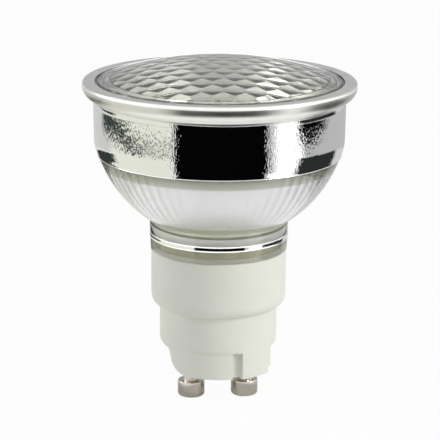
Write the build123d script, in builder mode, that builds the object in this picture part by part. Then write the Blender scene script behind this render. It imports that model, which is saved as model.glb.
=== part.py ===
"""Metal halide reflector lamp, modelled piece by piece as it is built.

A pressed glass reflector carries a patterned front lens under a crimped metal ring. A ceramic arc
tube burns inside a pinched quartz jacket, cemented into the neck. The lamp stands on a stepped
ceramic base with two twist-lock contact pins.

Millimetres. The origin is midway between the ends of the two pins. +Z runs up the lamp's axis to
the lens, and X runs through both pins.
"""
import os
from math import cos, pi, radians, sin, sqrt

from build123d import *

os.makedirs("parts", exist_ok=True)

# Fits
slip = 0.02              # radial play of a wire or a pin in its own hole
seat = 0.05              # play round cemented and crimped pieces

# Contact pins
pin_pitch = 10.0
pin_head_radius = 2.5
pin_head_height = 3.0
pin_head_round = 0.4
pin_head_chamfer = 0.15
pin_shank_radius = 1.45
pin_rivet_radius = 2.1
pin_rivet_height = 0.6
pin_wire_hole_depth = 3.0

# Ceramic base: heights of its steps, and their radii
base_bottom = 6.2
waist_bottom = 10.0
shoulder_bottom = 18.0
base_top = 28.7
shoulder_radius = 12.45
waist_radius = 10.85
shoulder_round = 2.0
waist_round = 1.8
rim_round = 0.35
setback = 0.25           # of the socket end's rounded side behind the waist
socket_flat_reach = 9.2
lead_in_round = 3.0
ledge_depth = 0.45
ledge_height = 1.0
keyway_width = 1.9
keyway_depth = 1.1
keyway_azimuth = -75.6
keyway_top = 11.1
cavity_floor = 17.0
lead_slot_floor = 10.4
lead_slot_length = 15.4
lead_slot_width = 4.6

# Reflector: a spherical outside on a straight neck, with a drafted wall above
neck_bottom_radius = 12.6
neck_top_radius = 12.8
neck_height = 5.65
neck_bore_radius = 7.7
throat_radius = 9.1      # where the flared bore opens into the bowl
throat_rise = 1.6        # of the flare's foot above the base
bowl_radius = 23.45
bowl_wall = 1.75
bowl_top_drop = 5.4      # of the bowl's edge below its centre
bowl_top_round = 9.0
wall_height = 8.15
wall_flare = 0.13        # of the drafted wall, from the bowl up to the flange
flange_overhang = 0.95
flange_taper = 1.0
flange_land = 0.15
flute_count = 64
flute_depth = 0.3
flute_bands = 3

# Front lens: a dome with lenslets on its inside
dome_rise = 4.16         # of the dome's top above the rim
shoulder_rise = 0.6      # of the dome's edge above the rim
lens_shoulder_round = 0.8
lens_thickness = 2.3
lens_rim_thickness = 1.74
shoulder_inset = 2.4     # of the dome's edge from the flange's, then of the step and the pattern
step_inset = 1.6
pattern_inset = 3.5
lenslet_pitch = 3.76
lenslet_row_pitch = 2.83
lenslet_groove = 0.14
lenslet_depth = 0.5
lenslet_root = 0.15
lenslet_taper = 58.0
lattice_start = (-1.04, -17.2)
lattice_turn = -5.7

# Retaining ring, spun from sheet
sheet = 0.36
lip_play = 0.1           # round the lens's step
ring_overhang = 1.12
roll_radius = 3.25
lip_round = 0.65
roll_sweep = 52.0
skirt_play = 0.08
skirt_drop = 0.3         # of the skirt's bend below the wall's top
skirt_length = 0.4

# Burner
jacket_radius = 6.6
jacket_wall = 0.95
jacket_rise = 5.2        # of the jacket's lower round above the pinch
jacket_tip_radius = 1.1
jacket_tip_end_radius = 0.37
jacket_tip_height = 1.0
pinch_width = 11.6
pinch_thickness = 3.4
pinch_round = 0.9
pinch_seat = 1.6         # of the pinch above the cavity's floor
pinch_height = 12.4
leg_rise = 1.0           # of the arc tube's lower leg above the jacket's lower round
tail_reach = 3.0         # of the upper electrode into the jacket's upper round
arc_body_radius = 3.3
arc_body_length = 7.6
arc_body_round = 2.1
arc_wall = 0.75
arc_leg_radius = 1.15
arc_leg_length = 3.8
arc_leg_bore = 0.42
frit_length = 0.9
frit_round = 0.5
electrode_radius = 0.3
electrode_tip_radius = 0.55
electrode_tip_length = 1.0
electrode_reach = 1.5
electrode_tail = 1.3
foil_width = 2.4
foil_length = 6.6
foil_thickness = 0.12
foil_seat = 2.6          # of the foils above the pinch's foot
foil_spacing = 5.2
wire_radius = 0.35
lead_bend = 1.2
lead_knee_drop = 0.6     # of the leads' upper bend below the cavity's floor
lead_knee_rise = 2.4     # of their lower bend above the slot's floor
lead_channel_width = 1.4
lead_hole_reach = 1.0
short_lead_bend = 0.6
short_lead_knee = 1.2
weld_gap = 0.2
frame_bend = 0.8
frame_reach = 4.45
frame_straight = 1.4
frame_knee = 3.0
frame_weld = 0.4
getter_radius = 0.9
getter_thickness = 0.5
getter_drop = 3.6        # below the frame wire's top


def save(name, part):
    """Labels a finished sub-part and writes its file."""
    part.part.label = name
    export_step(part.part, f"parts/{name}.step")


# Heights that follow from the sizes above
bowl_centre_height = base_top + neck_height + sqrt(bowl_radius**2 - neck_top_radius**2)
bowl_top = bowl_centre_height - bowl_top_drop
wall_top = bowl_top + wall_height
flange_bottom = wall_top + flange_taper
flange_top = flange_bottom + flange_land
throat_bottom = base_top + throat_rise
pinch_bottom = cavity_floor + pinch_seat
pinch_top = pinch_bottom + pinch_height
foil_bottom = pinch_bottom + foil_seat
foil_top = foil_bottom + foil_length
jacket_low_centre = pinch_top + jacket_rise
leg_low = jacket_low_centre + leg_rise
arc_centre_height = leg_low + arc_leg_length + arc_body_length / 2
leg_high = arc_centre_height + arc_body_length / 2 + arc_leg_length
lower_tail = leg_low - frit_length - electrode_tail
upper_tail = leg_high + frit_length + electrode_tail
jacket_high_centre = upper_tail - tail_reach


def bowl_r(height, radius):
    """Radius at a height of a sphere of the given radius about the bowl's centre."""
    return sqrt(radius**2 - (bowl_centre_height - height) ** 2)


def wire(points, bend, radius):
    """A round wire through the points, with its corners bent to the given radius."""
    with BuildPart(mode=Mode.PRIVATE) as rod:
        with BuildLine() as path:
            FilletPolyline(*points, radius=bend)
        with BuildSketch(Plane(origin=path.line @ 0, z_dir=path.line % 0)):
            Circle(radius)
        sweep()
    return rod.part


# Contact pins: a turned head to twist behind the holder's contacts, and a shank riveted in the base
def contact_pin(side):
    axis_x = side * pin_pitch / 2
    with BuildPart() as pin:
        with BuildSketch():
            with Locations((axis_x, 0)):
                Circle(pin_head_radius)
        extrude(amount=pin_head_height)
        fillet(pin.edges().sort_by(Axis.Z)[0], pin_head_round)
        chamfer(pin.edges().sort_by(Axis.Z)[-1], pin_head_chamfer)
        with BuildSketch(Plane.XY.offset(pin_head_height)):
            with Locations((axis_x, 0)):
                Circle(pin_shank_radius)
        extrude(amount=lead_slot_floor - pin_head_height)
        with BuildSketch(Plane.XY.offset(lead_slot_floor)):
            with Locations((axis_x, 0)):
                Circle(pin_rivet_radius)
        extrude(amount=pin_rivet_height)
        with BuildSketch(Plane.XY.offset(lead_slot_floor + pin_rivet_height)):
            with Locations((axis_x, 0)):
                Circle(wire_radius + slip)
        extrude(amount=-pin_wire_hole_depth, mode=Mode.SUBTRACT)
    return pin


contact_pin_left = contact_pin(-1)
save("contact_pin_left", contact_pin_left)
contact_pin_right = contact_pin(1)
save("contact_pin_right", contact_pin_right)

# Ceramic base: shoulder and waist with rounded undersides, above a socket end with two flats
socket_radius = waist_radius - setback
socket_height = waist_bottom + waist_round - base_bottom
keyway_x = socket_radius * cos(radians(keyway_azimuth))
with BuildPart() as ceramic_base:
    with BuildSketch(Plane.XY.offset(shoulder_bottom)):
        Circle(shoulder_radius)
    extrude(amount=base_top - shoulder_bottom)
    fillet(ceramic_base.edges().sort_by(Axis.Z)[0], shoulder_round)
    fillet(ceramic_base.edges().sort_by(Axis.Z)[-1], rim_round)
    with BuildSketch(Plane.XY.offset(waist_bottom)):
        Circle(waist_radius)
    extrude(amount=shoulder_bottom - waist_bottom + shoulder_round)
    fillet(ceramic_base.edges().sort_by(Axis.Z)[0], waist_round)
    # The rounded side of the socket end, set back a little
    with BuildSketch(Plane.XY.offset(base_bottom)):
        Circle(socket_radius)
        Rectangle(2 * socket_flat_reach, 2 * socket_radius, mode=Mode.INTERSECT)
    extrude(amount=socket_height)
    with BuildSketch(Plane.XZ):
        with Locations((-socket_flat_reach, base_bottom)):
            Rectangle(lead_in_round, lead_in_round, align=Align.MIN)
        with Locations((lead_in_round - socket_flat_reach, base_bottom + lead_in_round)):
            Circle(lead_in_round, mode=Mode.SUBTRACT)
    extrude(amount=socket_radius, both=True, mode=Mode.SUBTRACT)
    # Its square side, from the keyway on, keeps the waist's full radius down to a small ledge
    with BuildSketch(Plane.XY.offset(base_bottom)):
        Circle(waist_radius)
        with Locations((keyway_x, 0)):
            Rectangle(socket_flat_reach - keyway_x, 2 * waist_radius,
                      align=(Align.MIN, Align.CENTER), mode=Mode.INTERSECT)
    extrude(amount=socket_height)
    with BuildSketch(Plane.XY.offset(base_bottom)):
        with Locations((socket_flat_reach, 0)):
            Rectangle(2 * ledge_depth, 2 * waist_radius)
    extrude(amount=ledge_height, mode=Mode.SUBTRACT)
    with BuildSketch(Plane.XY.offset(base_bottom)):
        with PolarLocations(socket_radius, 1, start_angle=keyway_azimuth):
            Rectangle(2 * keyway_depth, keyway_width)
    extrude(amount=keyway_top - base_bottom, mode=Mode.SUBTRACT)
    # Cement cavity, the slot where the leads spread, and the pin bores
    with BuildSketch(Plane.XY.offset(base_top)):
        Circle(neck_bore_radius)
    extrude(amount=cavity_floor - base_top, mode=Mode.SUBTRACT)
    with BuildSketch(Plane.XY.offset(cavity_floor)):
        SlotOverall(lead_slot_length, lead_slot_width)
    extrude(amount=lead_slot_floor - cavity_floor, mode=Mode.SUBTRACT)
    with BuildSketch(Plane.XY.offset(base_bottom)):
        with GridLocations(pin_pitch, 0, 2, 1):
            Circle(pin_shank_radius + slip)
    extrude(amount=lead_slot_floor - base_bottom, mode=Mode.SUBTRACT)
save("ceramic_base", ceramic_base)

# Reflector: one piece of pressed glass, fluted on the inside of its bowl
bowl_inner_radius = bowl_radius - bowl_wall
bowl_start = base_top + neck_height
inner_start = bowl_centre_height - sqrt(bowl_inner_radius**2 - throat_radius**2)
outer_mid_height = (bowl_start + bowl_top) / 2
inner_mid_height = (inner_start + bowl_top) / 2
bowl_top_radius = bowl_r(bowl_top, bowl_radius)
inner_top_radius = bowl_r(bowl_top, bowl_inner_radius)
wall_top_radius = bowl_top_radius + wall_flare
flange_radius = wall_top_radius + flange_overhang
with BuildPart() as flute_core:
    for band in range(flute_bands + 1):
        level = inner_start + (bowl_top - inner_start) * band / flute_bands
        ridge = bowl_r(level, bowl_inner_radius)
        corners = [
            ((ridge + flute_depth * (k % 2)) * cos(pi * k / flute_count),
             (ridge + flute_depth * (k % 2)) * sin(pi * k / flute_count))
            for k in range(2 * flute_count)
        ]
        with BuildSketch(Plane.XY.offset(level)):
            Polygon(*corners, align=None)
    loft(ruled=True)

with BuildPart() as reflector:
    with BuildSketch(Plane.XZ):
        with BuildLine():
            Polyline((neck_bore_radius, base_top), (neck_bottom_radius, base_top), (neck_top_radius, bowl_start))
            ThreePointArc((neck_top_radius, bowl_start), (bowl_r(outer_mid_height, bowl_radius), outer_mid_height),
                          (bowl_top_radius, bowl_top))
            Polyline((bowl_top_radius, bowl_top), (wall_top_radius, wall_top), (flange_radius, flange_bottom),
                     (flange_radius, flange_top), (wall_top_radius - bowl_wall, flange_top),
                     (inner_top_radius, bowl_top))
            ThreePointArc((inner_top_radius, bowl_top),
                          (bowl_r(inner_mid_height, bowl_inner_radius), inner_mid_height),
                          (throat_radius, inner_start))
            Polyline((throat_radius, inner_start), (neck_bore_radius, throat_bottom),
                     (neck_bore_radius, base_top))
        make_face()
    revolve(axis=Axis.Z)
    fillet(reflector.edges().filter_by_position(Axis.Z, bowl_top - slip, bowl_top + slip).sort_by(SortBy.RADIUS)[-1],
           bowl_top_round)
    add(flute_core.part, mode=Mode.SUBTRACT)
save("reflector", reflector)

# Front lens: one lenslet, then the dome with the lenslets set round its inside
lenslet_corner_x = (lenslet_pitch - lenslet_groove) / 2
lenslet_corner_y = (lenslet_row_pitch - lenslet_groove) * 2 / 3
dome_edge_radius = flange_radius - shoulder_inset
lens_step_radius = flange_radius - step_inset
pattern_radius = flange_radius - pattern_inset
lens_rim_top = flange_top + lens_rim_thickness
dome_top = lens_rim_top + dome_rise
dome_edge = lens_rim_top + shoulder_rise
dome_sag = dome_top - dome_edge
dome_radius = (dome_edge_radius**2 + dome_sag**2) / (2 * dome_sag)
inner_dome_radius = dome_radius - lens_thickness


def dome_z(radius, depth=0.0):
    """Height at a radius of the lens's dome, or of a surface at a depth below it."""
    return dome_top - dome_radius + sqrt((dome_radius - depth) ** 2 - radius**2)


with BuildPart() as lenslet:
    with BuildSketch(Plane.XY.offset(lenslet_root)):
        Polygon((lenslet_corner_x, lenslet_corner_y / 2), (0, lenslet_corner_y),
                (-lenslet_corner_x, lenslet_corner_y / 2), (-lenslet_corner_x, -lenslet_corner_y / 2),
                (0, -lenslet_corner_y), (lenslet_corner_x, -lenslet_corner_y / 2), align=None)
    extrude(amount=-lenslet_root - lenslet_depth, taper=lenslet_taper)


def lenslet_places():
    """Planes on the inner dome, one for each lenslet whose centre lies well inside the pattern."""
    places = []
    rows = round(2 * pattern_radius / lenslet_row_pitch)
    columns = round(2 * pattern_radius / lenslet_pitch)
    for row in range(-1, rows):
        for column in range(-columns, columns):
            across = lattice_start[0] + (column + row % 2 / 2) * lenslet_pitch
            along = lattice_start[1] + row * lenslet_row_pitch
            if across**2 + along**2 > (pattern_radius - lenslet_corner_x) ** 2:
                continue
            turn = radians(lattice_turn)
            x = across * cos(turn) - along * sin(turn)
            y = across * sin(turn) + along * cos(turn)
            height = sqrt(inner_dome_radius**2 - x**2 - y**2)
            origin = (x, y, dome_top - dome_radius + height)
            places.append(Plane(origin=origin, x_dir=(cos(turn), sin(turn), 0), z_dir=(x, y, height)))
    return places


with BuildPart() as front_lens:
    with BuildSketch(Plane.XZ):
        with BuildLine():
            ThreePointArc((0, dome_top), (pattern_radius / 2, dome_z(pattern_radius / 2)),
                          (dome_edge_radius, dome_edge))
            RadiusArc((dome_edge_radius, dome_edge), (lens_step_radius, lens_rim_top), lens_shoulder_round)
            Polyline((lens_step_radius, lens_rim_top), (flange_radius, lens_rim_top), (flange_radius, flange_top),
                     (pattern_radius, flange_top), (pattern_radius, dome_z(pattern_radius, lens_thickness)))
            ThreePointArc((pattern_radius, dome_z(pattern_radius, lens_thickness)),
                          (pattern_radius / 2, dome_z(pattern_radius / 2, lens_thickness)),
                          (0, dome_top - lens_thickness))
            Line((0, dome_top - lens_thickness), (0, dome_top))
        make_face()
    revolve(axis=Axis.Z)
    with Locations(*[place.location for place in lenslet_places()]):
        add(lenslet.part)
save("front_lens", front_lens)

# Retaining ring: a flat lip over the lens, a rolled side, and a skirt crimped in under the flange
lip_radius = lens_step_radius + lip_play
lip_bottom = lens_rim_top + seat
lip_top = lip_bottom + sheet
ring_radius = flange_radius + ring_overhang
roll_height = lip_top - lip_round
roll_centre = ring_radius - roll_radius
skirt_radius = wall_top_radius + skirt_play
skirt_bend = wall_top - skirt_drop
with BuildPart() as retaining_ring:
    with BuildSketch(Plane.XZ):
        with BuildLine():
            Line((lip_radius, lip_bottom), (lip_radius, lip_top))
            Line((lip_radius, lip_top), (ring_radius - lip_round, lip_top))
            CenterArc((ring_radius - lip_round, roll_height), lip_round, 90, -90)
            outside = CenterArc((roll_centre, roll_height), roll_radius, 0, -roll_sweep)
            Polyline(outside @ 1, (skirt_radius + sheet, skirt_bend),
                     (skirt_radius + sheet, skirt_bend - skirt_length),
                     (skirt_radius, skirt_bend - skirt_length), (skirt_radius, skirt_bend))
            inside = CenterArc((roll_centre, roll_height), roll_radius - sheet, 0, -roll_sweep)
            Line((skirt_radius, skirt_bend), inside @ 1)
            CenterArc((ring_radius - lip_round, roll_height), lip_round - sheet, 90, -90)
            Line((ring_radius - lip_round, lip_bottom), (lip_radius, lip_bottom))
        make_face()
    revolve(axis=Axis.Z)
save("retaining_ring", retaining_ring)


# Quartz jacket: a round-ended capsule on a flat pinch that seals the two foils and their leads
def jacket_shape(growth):
    """The jacket's outside as a solid, grown by a clearance."""
    radius = jacket_radius + growth
    with BuildPart(mode=Mode.PRIVATE) as shape:
        with BuildSketch(Plane.XZ):
            with BuildLine():
                Line((0, jacket_low_centre - radius), (0, jacket_high_centre + radius))
                RadiusArc((0, jacket_high_centre + radius), (radius, jacket_high_centre), radius)
                Line((radius, jacket_high_centre), (radius, jacket_low_centre))
                RadiusArc((radius, jacket_low_centre), (0, jacket_low_centre - radius), radius)
            make_face()
        revolve(axis=Axis.Z)
        with BuildSketch(Plane.XY.offset(pinch_bottom - growth)):
            RectangleRounded(pinch_width + 2 * growth, pinch_thickness + 2 * growth, pinch_round)
        extrude(amount=pinch_top - pinch_bottom + 2 * growth)
    return shape.part


inner_jacket_radius = jacket_radius - jacket_wall
foil_x = foil_spacing / 2
with BuildPart() as quartz_jacket:
    add(jacket_shape(0))
    with Locations((0, 0, jacket_high_centre + jacket_radius)):
        Cone(jacket_tip_radius, jacket_tip_end_radius, 2 * jacket_tip_height)
    with BuildSketch(Plane.XZ):
        with BuildLine():
            Line((0, jacket_low_centre - inner_jacket_radius), (0, jacket_high_centre + inner_jacket_radius))
            RadiusArc((0, jacket_high_centre + inner_jacket_radius), (inner_jacket_radius, jacket_high_centre),
                      inner_jacket_radius)
            Line((inner_jacket_radius, jacket_high_centre), (inner_jacket_radius, jacket_low_centre))
            RadiusArc((inner_jacket_radius, jacket_low_centre), (0, jacket_low_centre - inner_jacket_radius),
                      inner_jacket_radius)
        make_face()
    revolve(axis=Axis.Z, mode=Mode.SUBTRACT)
    with BuildSketch(Plane.XY.offset(foil_bottom)):
        with GridLocations(foil_spacing, 0, 2, 1):
            Rectangle(foil_width, foil_thickness)
    extrude(amount=foil_length, mode=Mode.SUBTRACT)
    with BuildSketch(Plane.XY.offset(pinch_bottom)):
        with GridLocations(foil_spacing, 0, 2, 1):
            Circle(wire_radius + slip)
    extrude(amount=foil_bottom - pinch_bottom, mode=Mode.SUBTRACT)
    with BuildSketch(Plane.XY.offset(foil_top)):
        with GridLocations(foil_spacing, 0, 2, 1):
            Circle(wire_radius + slip)
    extrude(amount=pinch_top + lead_hole_reach - foil_top, mode=Mode.SUBTRACT)
save("quartz_jacket", quartz_jacket)


# Molybdenum foils, flat in the pinch
def foil(side):
    with BuildPart() as strip:
        with BuildSketch(Plane.XY.offset(foil_bottom)):
            with Locations((side * foil_x, 0)):
                Rectangle(foil_width, foil_thickness)
        extrude(amount=foil_length)
    return strip


foil_left = foil(-1)
save("foil_left", foil_left)
foil_right = foil(1)
save("foil_right", foil_right)


# Lead wires from the foils down through the slot into the pins
def lead_wire(side):
    lead_end = lead_slot_floor + pin_rivet_height - pin_wire_hole_depth + slip
    lead_knee_top = cavity_floor - lead_knee_drop
    lead_knee_bottom = lead_slot_floor + lead_knee_rise
    with BuildPart() as lead:
        add(wire([(side * foil_x, 0, foil_bottom), (side * foil_x, 0, lead_knee_top),
                  (side * pin_pitch / 2, 0, lead_knee_bottom), (side * pin_pitch / 2, 0, lead_end)],
                 lead_bend, wire_radius))
    return lead


lead_wire_left = lead_wire(-1)
save("lead_wire_left", lead_wire_left)
lead_wire_right = lead_wire(1)
save("lead_wire_right", lead_wire_right)

# Cement round the pinch, from the floor of the base's cavity up into the reflector's neck
with BuildPart() as cement_fill:
    with BuildSketch(Plane.XY.offset(cavity_floor)):
        Circle(neck_bore_radius - seat)
    extrude(amount=throat_bottom - cavity_floor)
    add(jacket_shape(seat), mode=Mode.SUBTRACT)
    with BuildSketch(Plane.XY.offset(cavity_floor)):
        SlotOverall(foil_spacing + lead_channel_width, lead_channel_width)
    extrude(amount=pinch_bottom - cavity_floor, mode=Mode.SUBTRACT)
save("cement_fill", cement_fill)

# Arc tube: a hollow ceramic body with a narrow leg at each end
with BuildPart() as arc_tube:
    with Locations((0, 0, arc_centre_height)):
        Cylinder(arc_body_radius, arc_body_length)
    fillet(arc_tube.edges().filter_by(GeomType.CIRCLE), arc_body_round)
    with Locations((0, 0, arc_centre_height)):
        Cylinder(arc_leg_radius, leg_high - leg_low)
    with Locations((0, 0, arc_centre_height)):
        Cylinder(arc_leg_bore, leg_high - leg_low, mode=Mode.SUBTRACT)
    with BuildSketch(Plane.XZ):
        with Locations((0, arc_centre_height)):
            RectangleRounded(2 * (arc_body_radius - arc_wall), arc_body_length - 2 * arc_wall,
                             arc_body_round - arc_wall)
            Rectangle(2 * arc_body_radius, arc_body_length, align=(Align.MIN, Align.CENTER), mode=Mode.INTERSECT)
    revolve(axis=Axis.Z, mode=Mode.SUBTRACT)
save("arc_tube", arc_tube)


# Electrodes: a rod through each leg with a coiled tip inside the body
def electrode(end):
    leg_end = arc_centre_height + end * (arc_body_length / 2 + arc_leg_length)
    tail_end = leg_end + end * (frit_length + electrode_tail)
    tip_start = arc_centre_height + end * electrode_reach
    with BuildPart() as rod:
        with BuildSketch(Plane.XY.offset(tip_start)):
            Circle(electrode_radius)
        extrude(amount=tail_end - tip_start)
        with BuildSketch(Plane.XY.offset(tip_start)):
            Circle(electrode_tip_radius)
        extrude(amount=end * electrode_tip_length)
    return rod


electrode_lower = electrode(-1)
save("electrode_lower", electrode_lower)
electrode_upper = electrode(1)
save("electrode_upper", electrode_upper)


# Frit seals: glass beads that close each leg round its electrode
def frit_seal(end):
    leg_end = arc_centre_height + end * (arc_body_length / 2 + arc_leg_length)
    with BuildPart() as bead:
        with BuildSketch(Plane.XY.offset(leg_end)):
            Circle(arc_leg_radius)
        extrude(amount=end * frit_length)
        fillet(bead.edges().sort_by(Axis.Z)[-1 if end > 0 else 0], frit_round)
        with BuildSketch(Plane.XY.offset(leg_end)):
            Circle(electrode_radius + slip)
        extrude(amount=end * frit_length, mode=Mode.SUBTRACT)
    return bead


frit_seal_lower = frit_seal(-1)
save("frit_seal_lower", frit_seal_lower)
frit_seal_upper = frit_seal(1)
save("frit_seal_upper", frit_seal_upper)

# Short lead from the left foil to the lower electrode, and the frame wire round to the upper one
weld_offset = electrode_radius + wire_radius + slip
weld_bottom = lower_tail - weld_gap
weld_top = leg_low - frit_length - weld_gap
with BuildPart() as short_lead:
    add(wire([(-foil_x, 0, foil_top), (-foil_x, 0, weld_bottom - short_lead_knee),
              (-weld_offset, 0, weld_bottom), (-weld_offset, 0, weld_top)],
             short_lead_bend, wire_radius))
save("short_lead", short_lead)

frame_top = upper_tail - frame_weld
with BuildPart() as frame_wire:
    add(wire([(foil_x, 0, foil_top), (foil_x, 0, pinch_top + frame_straight),
              (frame_reach, 0, pinch_top + frame_straight + frame_knee),
              (frame_reach, 0, frame_top), (electrode_radius + slip, 0, frame_top)],
             frame_bend, wire_radius))
save("frame_wire", frame_wire)

# Getter, a pressed disc welded to the frame wire
with BuildPart() as getter:
    with Locations(Plane(origin=(frame_reach, wire_radius + slip, frame_top - getter_drop),
                         z_dir=(0, 1, 0)).location):
        Cylinder(getter_radius, getter_thickness, align=(Align.CENTER, Align.CENTER, Align.MIN))
save("getter", getter)
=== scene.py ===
# %% [markdown]
# # A metal halide reflector lamp, dressed for its photograph
#
# The lamp is a pressed glass reflector with a mirrored inside, a patterned front lens under a spun
# metal ring, a small ceramic burner in a quartz jacket, and a white ceramic base on two pins. Its
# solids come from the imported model. This lesson gives each of them the surface of the real thing.
# Everything is in metres in Blender, but the sizes below are written in millimetres, as a lamp maker
# would write them, and multiplied by MM where a mesh is made.

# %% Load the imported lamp
from math import cos, degrees, pi, radians, sin, sqrt

import bpy
import numpy as np
from mathutils import Matrix, Vector


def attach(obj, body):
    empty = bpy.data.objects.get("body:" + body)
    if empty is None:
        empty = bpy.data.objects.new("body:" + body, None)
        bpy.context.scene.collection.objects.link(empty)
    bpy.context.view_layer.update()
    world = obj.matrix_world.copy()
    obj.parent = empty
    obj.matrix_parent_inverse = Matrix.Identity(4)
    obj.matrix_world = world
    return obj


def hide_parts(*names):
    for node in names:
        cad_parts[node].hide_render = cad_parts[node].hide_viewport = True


MM = 0.001
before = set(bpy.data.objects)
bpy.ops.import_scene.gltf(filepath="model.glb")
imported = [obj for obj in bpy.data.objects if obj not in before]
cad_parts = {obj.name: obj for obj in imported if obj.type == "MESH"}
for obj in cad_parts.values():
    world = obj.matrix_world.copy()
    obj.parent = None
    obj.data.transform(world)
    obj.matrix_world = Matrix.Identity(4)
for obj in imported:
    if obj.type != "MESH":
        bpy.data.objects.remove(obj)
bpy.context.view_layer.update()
scene = bpy.context.scene

# %% [markdown]
# ## The camera
#
# The photograph was taken from a little above the lamp's middle with a long lens, about 0.4 m away.
# The place of the camera was found by fitting the lamp's circles (ring, corner of the neck, steps of
# the base) to the picture. Three angles turn the camera: yaw, pitch and roll. The lamp itself stands
# turned by a few degrees, so the camera is carried round the lamp's axis by that angle instead.

# %% Place the camera
CAMERA_DISTANCE = 398.118
CAMERA_HEIGHT = 138.529
CAMERA_YAW = -0.00053
CAMERA_PITCH = 0.257425
CAMERA_ROLL = 0.007251
FOCAL_PIXELS = 2233.66
LAMP_TURN = 0.100389
FRAME_PIXELS = 440
SENSOR = 36.0


def turned(vector, angle):
    """A vector turned about the vertical axis by an angle in radians."""
    return Matrix.Rotation(angle, 3, "Z") @ Vector(vector)


right = Vector((cos(CAMERA_YAW), sin(CAMERA_YAW), 0))
ahead = Vector((-sin(CAMERA_YAW) * cos(CAMERA_PITCH), cos(CAMERA_YAW) * cos(CAMERA_PITCH),
                -sin(CAMERA_PITCH)))
above = right.cross(ahead)
rolled_right = cos(CAMERA_ROLL) * right + sin(CAMERA_ROLL) * above
rolled_up = -sin(CAMERA_ROLL) * right + cos(CAMERA_ROLL) * above
columns = [turned(axis, -LAMP_TURN) for axis in (rolled_right, rolled_up, -ahead)]
camera_place = turned((0, -CAMERA_DISTANCE, CAMERA_HEIGHT), -LAMP_TURN) * MM
camera_data = bpy.data.cameras.new("camera")
camera_data.sensor_width = SENSOR
camera_data.lens = FOCAL_PIXELS * SENSOR / FRAME_PIXELS
camera_data.clip_start = 0.01
camera = bpy.data.objects.new("camera", camera_data)
scene.collection.objects.link(camera)
turn = Matrix((columns[0], columns[1], columns[2])).transposed()
camera.matrix_world = Matrix.Translation(camera_place) @ turn.to_4x4()
scene.camera = camera
print("camera at (mm):", [round(v / MM, 1) for v in camera_place], "lens:", round(camera_data.lens, 1))

# %% [markdown]
# ## From arrays to meshes
#
# Almost every piece of a lamp is turned or pressed round one axis, so a grid of points with one
# direction round the axis and one along the profile describes it. numpy works out the whole grid at
# once, and one helper turns it into a closed mesh: the grid is joined to itself round the axis, and a
# profile that starts or ends on the axis is closed there by a fan of triangles.


# %% Helpers for grids
def mesh_piece(name, points, faces, flat_angle=35.0):
    """A smooth mesh from points in millimetres and arrays of faces, with edges over an angle kept sharp."""
    mesh = bpy.data.meshes.new(name)
    mesh.vertices.add(len(points))
    mesh.vertices.foreach_set("co", (np.asarray(points, float) * MM).ravel())
    totals = np.concatenate([np.full(len(block), block.shape[1]) for block in faces])
    corners = np.concatenate([block.ravel() for block in faces])
    mesh.loops.add(len(corners))
    mesh.loops.foreach_set("vertex_index", corners.astype(np.int32))
    mesh.polygons.add(len(totals))
    mesh.polygons.foreach_set("loop_start", np.concatenate([[0], np.cumsum(totals)[:-1]]).astype(np.int32))
    mesh.update(calc_edges=True)
    mesh.validate()
    mesh.polygons.foreach_set("use_smooth", np.ones(len(mesh.polygons), bool))
    mesh.set_sharp_from_angle(angle=radians(flat_angle))
    piece = bpy.data.objects.new(name, mesh)
    scene.collection.objects.link(piece)
    return piece


def ring_grid(rows, around, closed_profile):
    """Quads that join a grid of rows by around points to itself round the axis, and along if closed."""
    row = np.arange(rows if closed_profile else rows - 1)[:, None]
    col = np.arange(around)[None, :]
    nxt_row = (row + 1) % rows
    nxt_col = (col + 1) % around
    quads = np.stack([row * around + col, row * around + nxt_col, nxt_row * around + nxt_col,
                      nxt_row * around + col], axis=-1)
    return quads.reshape(-1, 4)


def fan(row, around, pole, downward):
    """Triangles from one row of a grid to its pole."""
    a = row * around + np.arange(around)
    b = row * around + (np.arange(around) + 1) % around
    p = np.full(around, pole)
    return np.stack([a, b, p] if downward else [b, a, p], axis=-1)


def enclosed(points, faces):
    """Volume inside a closed surface, negative where its faces look inwards.

    Each face is cut into triangles from its first corner. A triangle and the origin span a flat pyramid
    of a sixth of the triple product of its corners, and the sum of them all is the volume.
    """
    total = 0.0
    for block in faces:
        first = points[block[:, 0]]
        for k in range(1, block.shape[1] - 1):
            side = np.cross(points[block[:, k]], points[block[:, k + 1]])
            total += float((first * side).sum()) / 6
    return total


def turned_piece(name, radius, height, around, flat_angle=35.0):
    """A closed surface of revolution. radius and height are rows of a profile, or grids (rows, around).

    A profile that touches the axis at both ends is closed by two poles; any other is joined end to end.
    The faces are turned round if the volume comes out negative, so they always point outwards.
    """
    radius, height = np.asarray(radius, float), np.asarray(height, float)
    angle = np.arange(around) * 2 * pi / around - pi / 2 + pi
    if radius.ndim == 1:
        radius = np.repeat(radius[:, None], around, axis=1)
        height = np.repeat(height[:, None], around, axis=1)
    poles = abs(radius[0]).max() < 1e-9
    tops = height[[0, -1], 0]
    if poles:
        radius, height = radius[1:-1], height[1:-1]
    grid = np.stack([radius * np.cos(angle), radius * np.sin(angle), height], axis=-1)
    rows = len(grid)
    points = grid.reshape(-1, 3)
    quads = ring_grid(rows, around, not poles)[:, ::-1]
    faces = [quads]
    if poles:
        points = np.concatenate([points, [[0, 0, tops[0]], [0, 0, tops[1]]]])
        faces += [fan(0, around, rows * around, True), fan(rows - 1, around, rows * around + 1, False)]
    volume = enclosed(points, faces)
    if volume < 0:
        faces = [block[:, ::-1] for block in faces]
    piece = mesh_piece(name, points, faces, flat_angle)
    print(f"{name}: {len(points)} points, radius to {radius.max():.2f} mm, z {height.min():.2f} to "
          f"{height.max():.2f}, {abs(volume):.1f} mm3")
    return piece


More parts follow.
